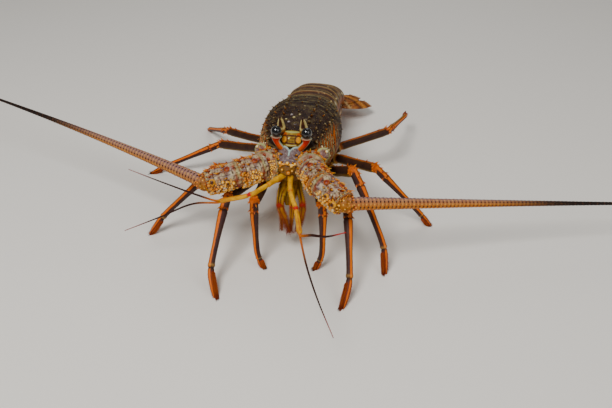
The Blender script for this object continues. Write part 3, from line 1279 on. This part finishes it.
WHIP_MARKS = {
    "ring": lambda a, t: 0.28 * step(whip_rings(a), 0.2, 0.9) * step(a, 0.5, 0.1),
    "dark": lambda a, t: step(a, 0.3, 0.64) * 1.5,
    "warm": lambda a, t: step(a, *COLLAR) * (0.6 + 0.4 * whip_grains(a, t)),
}
for side, name in SIDES:
    feeler = LONG_FEELERS[side]
    joints = chain(body_point(side * 19, -6, -8), side, feeler["stalk"])
    cover = [[], [], [], []]  # the thorns, knobs, prickles and domes of all three segments
    for i, radii in enumerate(STALK_RADII):
        start = joints[i] + 0.22 * (joints[i - 1] - joints[i]) if i else body_point(side * 17, 4, -8)
        place = around([start, start + 0.55 * (joints[i + 1] - start), joints[i + 1]], radii)
        stalk = skin(place, 80, 96, stalk_relief(0.7 if i else 1.3), 28, stalk_marks(side, i == 0))
        solids = [f"feeler_{name}_stalk_{i + 1}"]
        piece(f"feeler_{name}_segment_{i + 1}", [stalk], LAVENDER, solids)
        for kept, more in zip(cover, segment_cover(place, side, i, unit(joints[i + 1] - joints[i]))):
            kept += more
    cover[3] += [
        knobs_on(place, along, sided(side, degrees), 1.2 * size, size, 20, 0.0)
        for along, degrees, size in BOSS_PLACES[side]
    ]
    finishes = (SPINES_FACE, SPINES_FACE, PRICKLES, BOSS)
    for what, surfaces, finish in zip(("spines", "knobs", "prickles", "bosses"), cover, finishes):
        piece(f"feeler_{name}_{what}", surfaces, finish)

    seat = joints[3] - 6 * unit(joints[3] - joints[2])
    points = np.concatenate([[seat], whip_points(joints[3], side, feeler["swing"], feeler["rise"])])
    whip = around(points, whip_radius(np.linspace(0, 1, 60)))
    solids = [f"feeler_{name}_whip_{k}" for k in (1, 2, 3)]
    piece(f"feeler_{name}_whip", [skin(whip, 1000, 32, whip_relief, WHIP, WHIP_MARKS)], WHIP_SHELL, solids)
    size = 1.2 + 1.1 * mixed(90, 9, 1)
    collar_knobs = knobs_on(whip, *scattered(90, 0.012, 0.06), size, size * 0.55, lean=0.4, curl=0.1)
    piece(f"feeler_{name}_whip_knobs", [collar_knobs], SPINES_FACE)
    turns = int(WHIP * 0.75 / SPINULE_PITCH)
    along = np.repeat(0.02 + np.arange(turns) * SPINULE_PITCH / WHIP, SPINULES_ROUND)
    degrees = np.tile(np.arange(SPINULES_ROUND) * 360 / SPINULES_ROUND, turns) + 25
    size = 1.5 * (1 - along) ** 0.8
    spinules = spines_on(whip, along, degrees, size, size * 0.26, 1.4, 0.1, sides=5)
    piece(f"feeler_{name}_spinules", [spinules], BRISTLES)

# Short feelers: a slender yellow stalk of three segments with two thin whips.
TWIN_WHIP_RADII = np.array([0.85, 0.9, 0.85, 0.65, 0.3])


def slender_relief(along, angle):
    """A swelling at each joint with a waist after it."""
    return 0.35 * humps(along, (0.31, 0.645, 0.97), 0.02) - 0.45 * humps(along, (0.335, 0.67), 0.012)


def fine_rings(along, angle):
    """Many fine rings: a cosine of sixty waves."""
    return 0.06 * np.cos(2 * np.pi * along * 60)


SLENDER_MARKS = {
    "red": lambda a, t: (0.6 * hump(a, 0.335, 0.016) + 1.5 * hump(a, 0.665, 0.026)) * step(np.sin(t), -0.3, 0.3),
    "warm": lambda a, t: 0.35 * step(a, 0.7, 1.0) + 0.6 * step(a, 0.66, 0.74) * step(np.cos(3 * t + 1), 0.5, 0.9),
}
for side, name in SIDES:
    feeler = SHORT_FEELERS[side]
    joints = chain(body_point(side * 2.6, -24, -11), side, feeler["stalk"])
    place = around([body_point(side * 2.6, -19, -11)] + joints[1:], [2.6, 2.1, 2.0, 2.1])
    stalk = skin(place, 160, 24, slender_relief, 66, SLENDER_MARKS)
    piece(f"short_feeler_{name}_segments", [stalk], YELLOW, [f"short_feeler_{name}_stalk"])
    ahead = unit(joints[-1] - joints[-2])
    apart = unit(np.array([0, 0, 1]) - ahead * ahead[2])
    for which, shift in (("outer", 1.05), ("inner", -1.05)):
        start = joints[-1] + 0.3 * ahead + shift * apart
        bends = [start, start + 4 * ahead] + chain(start, side, feeler[which])[1:]
        stout, red_tip = (1.3, 1.5) if (side, which) == (1, "outer") else (1.0, 0.5)
        marks = {
            "warm": lambda a, t: step(a, 0.0, 0.25),
            "dark": lambda a, t: 1.3 * step(a, 0.28, 0.55),
            "red": lambda a, t: red_tip * step(a, 0.8, 0.95),
        }
        whip = skin(around(bends, TWIN_WHIP_RADII * stout), 240, 12, fine_rings, 100, marks)
        piece(f"short_feeler_{name}_{which}_whip", [whip], YELLOW, [f"short_feeler_{name}_{which}"])


# Mouth legs: short jointed limbs that hang before the mouth, fringed with bristles. A slimmer inner pair
# fills the gap between them.
def mouth_leg_swell(along, angle):
    """Knuckles at the joints with a waist after each."""
    return 0.4 * humps(along, (0.23, 0.49, 0.74), 0.03) - 0.4 * humps(along, (0.265, 0.525, 0.775), 0.014)


def limb_fringe(place, count, start, end, shortest, longer, radius):
    """Bristles scattered along a limb, longer towards its end by the square of the share."""
    length = shortest + longer * evenly(count)[0] ** 2
    return hairs_on(place, *scattered(count, start, end), length, radius, 0.9, 0.4)


MOUTH_LEG_MARKS = {
    "warm": lambda a, t: 0.8 * step(a, 0.6, 0.95) + 0.6 * step(np.cos(2 * t), 0.4, 0.9),
    "dark": lambda a, t: step(np.cos(3 * t + 0.6), 0.6, 0.85) * step(a, 0.1, 0.3),
    "red": lambda a, t: 1.4 * hump(a, 0.5, 0.035),
}
for side, name in SIDES:
    points = [body_point(side * 7, 5, -29)] + chain(body_point(side * 8, -2, -30), side, MOUTH_LEGS[side])
    outer = around(points, [2.8, 2.8, 2.5, 2.0, 1.0], (1, 0, 0))
    limb = skin(outer, 130, 30, mouth_leg_swell, 60, MOUTH_LEG_MARKS)
    piece(f"mouth_leg_{name}_limb", [limb], OLIVE, [f"mouth_leg_{name}"])
    fringe = limb_fringe(outer, 700, 0.3, 0.98, 1.4, 3.2, 0.17)
    piece(f"mouth_leg_{name}_bristles", [fringe], FOOT_BRISTLES)
    points = chain(body_point(side * 2.5, -6, -27), side, INNER_MOUTH_LEG)
    inner = around(points, [2.4, 2.2, 2.0, 0.9], (1, 0, 0))
    limb = skin(inner, 90, 24, mouth_leg_swell, 48, MOUTH_LEG_MARKS)
    piece(f"inner_mouth_leg_{name}", [limb], OLIVE)
    fringe = limb_fringe(inner, 420, 0.35, 0.98, 1.2, 2.2, 0.15)
    piece(f"inner_mouth_leg_{name}_bristles", [fringe], FOOT_BRISTLES)

# Jaws: a squat lump that hangs from the head's underside and narrows downwards, deeper than wide.
JAW_LINE = [(6, -22), (-3, -30), (-10, -36), (-14, -43)]
jaws = around([body_point(0, y, z) for y, z in JAW_LINE], [8, 8.5, 6.5, 2], (1, 0, 0), 0.8)


def jaw_relief(along, angle):
    """Ridges down its length: a cosine of six waves round it."""
    return 0.5 * np.cos(6 * angle) * step(along, 0.1, 0.4)


JAW_MARKS = {
    "dark": lambda a, t: 0.8 * step(np.cos(6 * t), 0.2, 0.8) * step(a, 0.1, 0.4),
    "warm": lambda a, t: 0.6 * granules(a * 26, t * 7, 3.0, 4.0),
}
piece("jaws", [skin(jaws, 60, 60, jaw_relief, 26, JAW_MARKS)], OLIVE)

# Walking legs
KNEE_JOINT = 0.185  # where a leg's short knee segment meets its long shin, as a share of the lower part


def leg_places(pair, side, lift, swing, rise, shin, drop):
    """The place functions of a leg's upper and lower part, from its root's seat and its pose."""
    back, apart, thigh_length, shin_length, bulk, _ = LEG_PAIRS[pair]
    root = body_point(side * apart, back, -26)
    inner = root - 5 * heading(side, 90, 0)
    hip = root + HIP * heading(side, (90 + swing) / 2, lift)
    knee = hip + thigh_length * heading(side, swing, rise)
    fall = drop or np.degrees(np.arcsin((knee[2] + FOOT_SINK) / shin_length))
    way = heading(side, shin, -fall)
    foot = knee + shin_length * way
    hinge = unit(np.cross(knee - hip, way))
    outside = np.array([side, 0, 0.5])
    bow = unit(outside - way * (outside @ way)) * SHIN_BOW[side][pair - 1]
    upper_points = [inner, root, hip, hip + 0.5 * (knee - hip), hip + 0.88 * (knee - hip), knee]
    upper = around(upper_points, np.array([6.6, 6.4, 4.9, 4.7, 4.9, 4.0]) * bulk, hinge)
    shares = [(-0.02, 0), (0.16, 0.4), (0.45, 0.8), (0.74, 1), (0.9, 0.45), (1, 0)]
    lower_points = [knee + s * (foot - knee) + k * bow for s, k in shares]
    lower = around(lower_points, np.array([3.6, 3.8, 2.8, 2.7, 2.3, 1.2]) * bulk, hinge)
    return upper, lower


def upper_relief(along, angle):
    """Grooves between the short root segments, and a flare at the knee with a rounded end."""
    rims = 0.45 * hump(along, 0.38, 0.018) + 0.4 * hump(along, 0.17, 0.02) + 0.5 * hump(along, 0.96, 0.03)
    return rims - 0.8 * humps(along, (0.2, 0.41), 0.012)


def lower_relief(toe):
    """A short swollen knee segment, then the long shin, and ridges along the last segment."""

    def read(along, angle):
        joints = -0.4 * hump(along, KNEE_JOINT, 0.008) - 0.5 * hump(along, toe, 0.008)
        rims = 0.2 * hump(along, KNEE_JOINT - 0.02, 0.014) + 0.15 * hump(along, KNEE_JOINT + 0.02, 0.012)
        rims = rims + 0.4 * hump(along, toe - 0.02, 0.012)
        return joints + rims + 0.2 * np.cos(6 * angle) * step(along, toe + 0.02, toe + 0.07)

    return read


def turned(surface, degrees, mirrored):
    """The same surface with its pattern turned round it, and mirrored on the animal's other side."""
    flip = -1 if mirrored else 1
    for uv in surface[3:5]:
        uv[..., 1] = flip * (uv[..., 1] - degrees / 360) + 4
        uv[..., 1] -= np.floor(uv[..., 1].mean(1))[:, None]
    return surface


THIGH_MARKS = {
    "warm": lambda a, t: 0.9 * hump(a, 0.99, 0.03) + 0.8 * step(a, 0.36, 0.2),
    "cream": lambda a, t: 0.8 * hump(a, 0.4, 0.015),
    "red": lambda a, t: hump(a, 0.41, 0.008),
}


def shin_marks(toe, face):
    """Dark rings in the two joints with light rims, and a red-brown last segment beside its orange band,
    which faces the given angle."""
    front = np.radians(face)
    return {
        "warm": lambda a, t: 0.9 * step(a, 0.04, 0.01) + 0.3 * hump(a, KNEE_JOINT - 0.02, 0.01),
        "dark": lambda a, t: 1.1 * hump(a, toe, 0.009) + hump(a, KNEE_JOINT, 0.01),
        "cream": lambda a, t: 0.4 * hump(a, toe - 0.02, 0.01),
        "red": lambda a, t: 0.85 * step(a, toe + 0.01, toe + 0.05) * step(np.cos(t - front), 0.93, 0.8),
    }


UPWARDS = np.array([0.0, 0.0, 1.0])
# A shin's orange band faces forwards, up and a little to the animal's left.
BAND_WAY = {side: unit(np.array([0.14 + 0.38 * side, -0.8, 0.6])) for side in (1, -1)}
for pose in LEG_POSES:
    pair, side = pose[:2]
    name = f"leg_{dict(SIDES)[side]}_{pair}"
    upper, lower = leg_places(*pose)
    toe = LEG_PAIRS[pair][-1]
    top = angle_towards(upper, 0.8, UPWARDS)
    face = angle_towards(lower, 0.45, BAND_WAY[side])
    thigh = turned(skin(upper, 130, 32, upper_relief, 80, THIGH_MARKS), top, side < 0)
    shin = turned(skin(lower, 170, 28, lower_relief(toe), 90, shin_marks(toe, face)), face, side < 0)
    piece(f"{name}_thigh", [thigh], THIGH_SHELL, [f"{name}_upper"])
    piece(f"{name}_shin", [shin], SHIN_SHELL, [f"{name}_lower"])
    thorns = [
        spines_on(upper, 0.93, top + np.array([-30, 30]), 4.0, 1.3, 0.7, 0.2, sides=8),
        spines_on(upper, [0.5, 0.62, 0.74, 0.86], top, [1.8, 2.4, 3.2, 2.6], 0.9, 0.7, 0.2),
        spines_on(upper, 0.965, top + np.array([-100, -65, 0, 65, 100, 180]), 2.6, 0.9, 0.8, 0.2),
        spines_on(lower, 0.165, face + np.array([-70, -20, 30, 75]), 2.4, 0.8, 0.8, 0.2),
        spines_on(lower, [0.03, 0.06, 0.1], face + np.array([-60, 50, 10]), 2.4, 0.9, 0.6, 0.2),
    ]
    piece(f"{name}_spines", thorns, SPINES_LEG)
    # The brush on the last segment is thickest and longest on the leg's inner side.
    inside = angle_towards(lower, 0.85, np.array([-side, 0.0, 0.0]))
    hair = [
        hairs_on(lower, *scattered(640, toe + 0.03, 0.99, inside, 150), 2.2 + 2.6 * evenly(640)[0], 0.16, 1.1, 0.25),
        hairs_on(lower, *scattered(110, toe + 0.03, 0.99), 1.5 + 1.2 * evenly(110)[0], 0.12, 1.4, 0.2),
        hairs_on(lower, *scattered(50, 0.25, toe - 0.02), 1.0, 0.08, 1.0, 0.3),
    ]
    piece(f"{name}_bristles", hair, FOOT_BRISTLES)


# Tail: six arched rings that bend down behind the carapace.
def tail_frame(index):
    """Where a ring starts, its pitch, and its turn."""
    place = body_point(0, CARAPACE + 1, -2)
    for length, _, _, pitch, turn in TAIL_RINGS[:index]:
        place = place + length * heading(1, 180 - turn, -pitch)
    return place, *TAIL_RINGS[min(index, len(TAIL_RINGS) - 1)][3:]


def tail_point(frame_of, x, y, z):
    """From a ring's own frame (x to the left, y back along it, z up) to the animal's frame."""
    place, pitch, turn = frame_of
    back = heading(1, 180 - turn, -pitch)
    left = np.array([np.cos(np.radians(turn)), -np.sin(np.radians(turn)), 0])
    x, y, z = (v[..., None] for v in arrays(x, y, z))
    return place + x * left + y * back + z * np.cross(left, back)


def tail_ring(index):
    """A place function: an arch that swells behind its front edge, flat below, and that meets the next."""
    length, width, top = TAIL_RINGS[index][:3]
    after = TAIL_RINGS[min(index + 1, len(TAIL_RINGS) - 1)]
    frame_of = tail_frame(index)

    def place(along, angle, out=1.0):
        along, angle, out = arrays(along, angle, out)
        up = np.sin(angle)
        swell = profile([-1.6, 0.2, -0.5, 0.4, 0.2, 0.6], along)
        wide = width + (after[1] - width) / 2 * along + swell
        high = top + (after[2] - top) / 2 * along + swell
        z = np.where(up > 0, high * power(up, 0.9), 9 * power(up, 0.6))
        return tail_point(frame_of, out * wide * power(np.cos(angle), 0.8), length * (along * 1.06 - 0.06), out * z)

    return place


def tail_flap(index, side):
    """The pointed side flap of a ring, which hangs down and back: a flat tube through four points."""
    length, width = TAIL_RINGS[index][:2]
    inset, back, down = np.array([5, 1.5, 1, 2]), np.array([0.45, 0.5, 0.72, 1.05]), [4, -6, -15, -20]
    points = tail_point(tail_frame(index), side * (width - inset), length * back, down)
    return around(points, [7, 6.5, 4, 0.8], (0, 1, 0), 0.3)


def swimmeret(index, side):
    """A thin leaf that hangs and slants back under a ring: a very flat tube through three points."""
    length, width = TAIL_RINGS[index][:2]
    out, back, down = np.array([0.5, 0.52, 0.5]), np.array([0.35, 0.6, 1.0]), [-4, -12, -19]
    points = tail_point(tail_frame(index), side * width * out, length * back, down)
    return around(points, [3, 5, 2.5], (1, 0, 0), 0.16)


def ring_relief(along, angle):
    """A furrow across the middle of the ring's top, and a bead along its rear edge."""
    top = step(np.sin(angle), 0.05, 0.35)
    return -0.8 * top * hump(along, 0.5, 0.045) + 0.35 * top * hump(along, 0.97, 0.03)


def ring_marks(bright):
    """An olive rear edge, warm sides, and a cream spot on each side, bright on two of the rings."""

    def cream(along, angle):
        """A large spot near the rear edge and a small one near the front edge."""
        spots = hump(along, 0.72, 0.12) * humps(np.degrees(angle), (28, 152), 5)
        return bright * 1.3 * spots + 0.5 * hump(along, 0.3, 0.1) * humps(np.degrees(angle), (40, 140), 4)

    return {
        "pale": lambda a, t: 0.95 * hump(a, 0.93, 0.05) * step(np.sin(t), 0.05, 0.25) + 0.45 * hump(a, 0.5, 0.05),
        "warm": lambda a, t: 0.75 * step(np.sin(t), 0.4, 0.05) + 0.3 * hump(a, 0.85, 0.1),
        "cream": cream,
    }


FLAP_MARKS = {
    "warm": lambda a, t: 0.8 * step(a, 0.2, 0.6),
    "cream": lambda a, t: hump(a, 0.55, 0.08) * hump(np.abs(np.sin(t)), 1, 0.5),
    "pale": lambda a, t: step(np.abs(np.cos(t)), 0.3, 0.1) * 0.7,
}
for i, sizes in enumerate(TAIL_RINGS):
    parts = [skin(tail_ring(i), 60, 180, ring_relief, sizes[0], ring_marks(1.0 if i in (1, 5) else 0.35))]
    teeth = []
    for side in (1, -1) if i > 0 else ():
        flap = tail_flap(i, side)
        parts.append(skin(flap, 50, 32, None, 30, FLAP_MARKS))
        looks_back = (flap(0.6, np.pi / 2, 1.0) - flap(0.6, 0.0, 0.0))[1] > 0
        edge = 90.0 if looks_back else -90.0
        teeth.append(spines_on(flap, [0.5, 0.64, 0.78], edge, [2.2, 2.4, 2.0], 0.8, 0.5, 0.2))
        if i < len(TAIL_RINGS) - 1:
            parts.append(skin(swimmeret(i, side), 30, 32, None, 20, FLAP_MARKS))
    piece(f"tail_ring_{i + 1}_shell", parts, TAIL_SHELL, [f"tail_ring_{i + 1}"])
    if teeth:
        piece(f"tail_ring_{i + 1}_teeth", teeth, SPINES_SHELL)

# Tail fan: the middle blade and two on each side, hard near their roots and finely ribbed to their ends.
# Each blade: its seat to the left and down, its spread in degrees, its length and half width.
BLADES = {
    "telson": (0, 2, 0, 48, 15),
    "fan_inner_left": (12, 4.2, 24, 44, 12.5),
    "fan_inner_right": (-12, 4.2, -24, 44, 12.5),
    "fan_outer_left": (17, 6.6, 46, 44, 13),
    "fan_outer_right": (-17, 6.6, -46, 44, 13),
}
BLADE_TUCK = 4  # how far a blade's root reaches in under the last ring
RIB_PITCH = 1.9


def fan_blade(x, drop, spread, length, width):
    """A thin long shield: each ring is a flat oval whose half width and thickness run through profiles,
    and waves in its thickness make the ribs of its outer part."""
    place, _, turn = tail_frame(len(TAIL_RINGS))
    frame_of = (tail_point((place, TELSON_PITCH, turn), x, 0, -drop), TELSON_PITCH, turn + spread)

    def blade(along, angle, out=1.0):
        along, angle, out = arrays(along, angle, out)
        wide = width * profile([0.55, 0.85, 1.0, 1.04, 0.94, 0.66], along)
        ribs = 1 + 0.22 * step(along, 0.4, 0.6) * np.cos(2 * np.pi * wide * np.cos(angle) / RIB_PITCH)
        thick = profile([3.2, 2.2, 1.6, 1.25, 1.05, 0.8], along) * ribs
        y = -BLADE_TUCK + (length + BLADE_TUCK) * along
        return tail_point(frame_of, out * wide * np.cos(angle), y, out * thick * power(np.sin(angle), 0.8))

    return blade


BLADE_MARKS = {
    "dark": lambda a, t: 0.8 * hump(a, 0.62, 0.06) + 0.7 * hump(a, 0.88, 0.04),
    "warm": lambda a, t: 0.8 * hump(a, 0.76, 0.07),
    "cream": lambda a, t: 0.9 * step(a, 0.965, 0.995) + 0.5 * hump(a, 0.3, 0.05),
}
FRINGE = np.concatenate([np.linspace(2, 88, 60), np.linspace(92, 178, 60)])  # degrees, over a blade's end
for name, sizes in BLADES.items():
    blade = fan_blade(*sizes)
    piece(f"{name}_blade", [skin(blade, 120, 260, None, sizes[3], BLADE_MARKS)], FAN_SHELL, [name])
    prickles = spines_on(blade, *scattered(36, 0.12, 0.42, 90, 120), 1.5, 0.5, 0.9, 0.2, sides=5)
    piece(f"{name}_prickles", [prickles], SPINES_SHELL)
    piece(f"{name}_fringe", [hairs_on(blade, 0.985, FRINGE, 1.6, 0.09, 2.0, 0.1)], BRISTLES)

# Stage: a plain pale floor
HALF_FLOOR = 6  # m
floor_mesh = bpy.data.meshes.new("floor")
corners = [(x * HALF_FLOOR, y * HALF_FLOOR, 0) for x, y in ((-1, -1), (1, -1), (1, 1), (-1, 1))]
floor_mesh.from_pydata(corners, [], [(0, 1, 2, 3)])
floor = bpy.data.objects.new("floor", floor_mesh)
bpy.context.scene.collection.objects.link(floor)
plain = new_material("pale floor")
node(plain, "OutputMaterial", {0: node(plain, "BsdfPrincipled", {"Base Color": srgb("#efe9df"), "Roughness": 0.85})[0]})
floor_mesh.materials.append(plain)

# Soft studio light: a dim even surround and three round lamps, each as place and diameter in m and
# power in W, which look at the animal's middle.
SURROUND = 0.21
LIGHTS = {
    "key": ((-0.3, -0.75, 1.25), 0.6, 17.5),
    "fill": ((0.9, -0.6, 0.9), 0.9, 3.8),
    "back": ((0.1, 0.9, 1.2), 0.9, 3.2),
}
LIT = np.array([0, 0, 0.05])
world = bpy.data.worlds.new("studio")
bpy.context.scene.world = world
world.use_nodes = True
world.node_tree.nodes["Background"].inputs[0].default_value = srgb("#dfe4ea")
world.node_tree.nodes["Background"].inputs[1].default_value = SURROUND
for name, (at, size, watts) in LIGHTS.items():
    light = bpy.data.lights.new(name, "AREA")
    light.shape, light.size, light.energy = "DISK", size, watts
    lamp = bpy.data.objects.new(name, light)
    bpy.context.scene.collection.objects.link(lamp)
    away = unit(np.array(at) - LIT)
    beside = unit(np.cross([0, 1, 0.01], away))
    lamp.matrix_world = Matrix.LocRotScale(at, Matrix(np.stack([beside, np.cross(away, beside), away], 1)), None)

# Camera: at the photograph's place and angle. The face's middle lies on a known point of the picture.
PICTURE = (612, 408)
FOCUS = 650  # focal length in pixels of the picture
SENSOR = 36  # mm
PITCH, YAW = np.radians(36), np.radians(8)
FACE, FACE_PIXEL, FACE_DISTANCE = np.array([0, -12, 95.0]), (289, 148), 565
forward = np.array([-np.sin(YAW) * np.cos(PITCH), np.cos(YAW) * np.cos(PITCH), -np.sin(PITCH)])
right = np.array([np.cos(YAW), np.sin(YAW), 0])
above = np.cross(right, forward)
sight = forward + right * (FACE_PIXEL[0] - PICTURE[0] / 2) / FOCUS - above * (FACE_PIXEL[1] - PICTURE[1] / 2) / FOCUS
camera_data = bpy.data.cameras.new("camera")
camera_data.sensor_width = SENSOR
camera_data.lens = SENSOR * FOCUS / PICTURE[0]
camera_data.clip_start = 0.01
camera = bpy.data.objects.new("camera", camera_data)
bpy.context.scene.collection.objects.link(camera)
camera.matrix_world = Matrix.LocRotScale(
    (FACE - sight * FACE_DISTANCE) * MM + ORIGIN, Matrix(np.stack([right, above, -forward], 1)), None
)
bpy.context.scene.camera = camera
